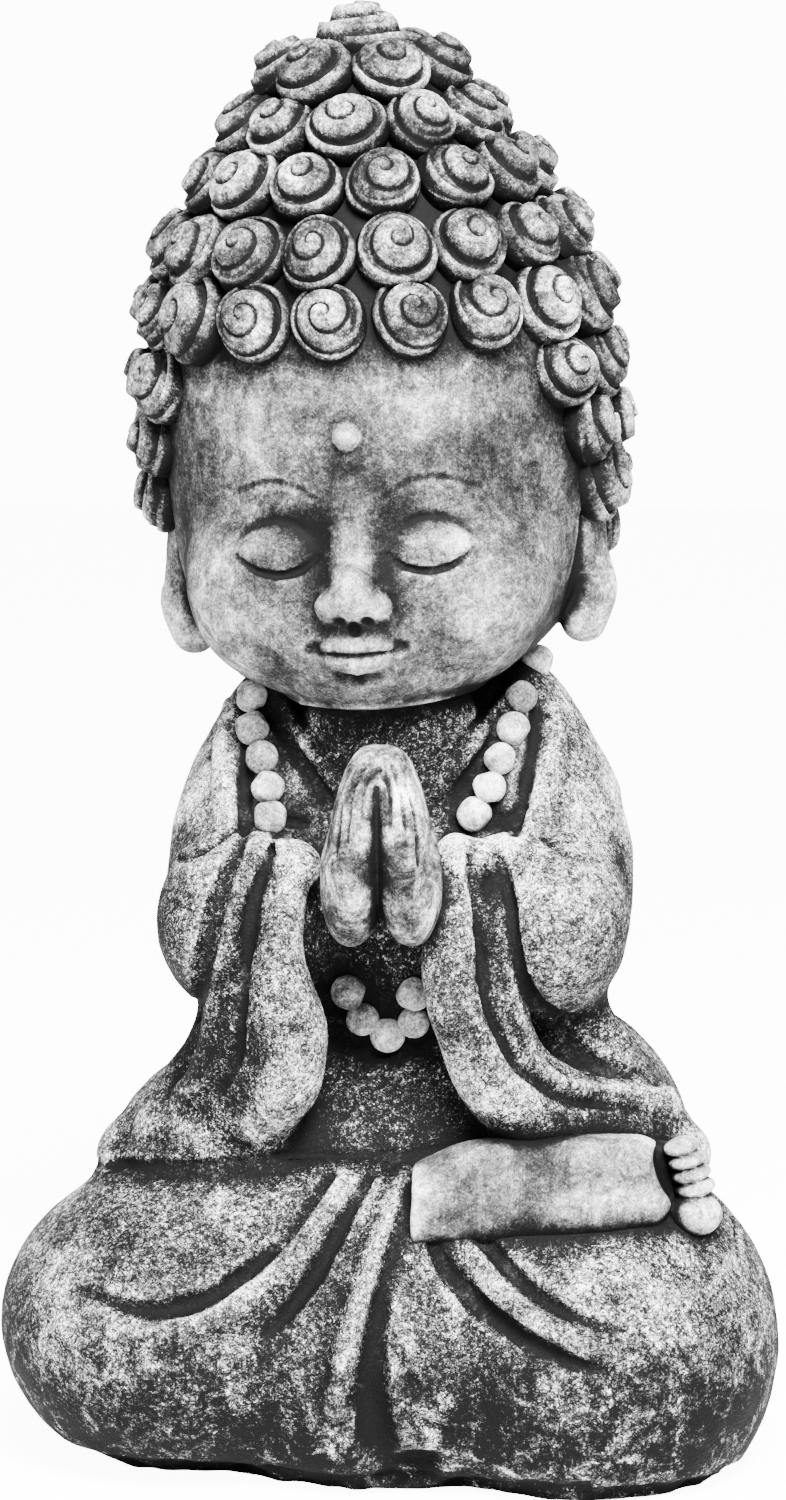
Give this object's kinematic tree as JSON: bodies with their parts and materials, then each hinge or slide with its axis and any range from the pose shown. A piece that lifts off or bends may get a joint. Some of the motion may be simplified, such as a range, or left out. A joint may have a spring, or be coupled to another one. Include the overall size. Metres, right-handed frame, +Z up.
{
  "type": "stone child buddha statue",
  "caption": "Seated child buddha garden statue of cast stone, palms together, with a crown of snail-shell curls, a bead string and a draped robe.",
  "frame": {"origin": "middle of the flat underside, below the middle of the bounding box", "axes": "+Z up to the crown of the head, -Y the way the figure faces, +X towards the figure's left hand"},
  "size_m": [0.2128, 0.1562, 0.3979],
  "materials": {
    "stone": "rough cast stone, dark in the hollows and pale on the raised parts"
  },
  "bodies": {
    "root": {"statue": "stone"}
  },
  "joints": []
}
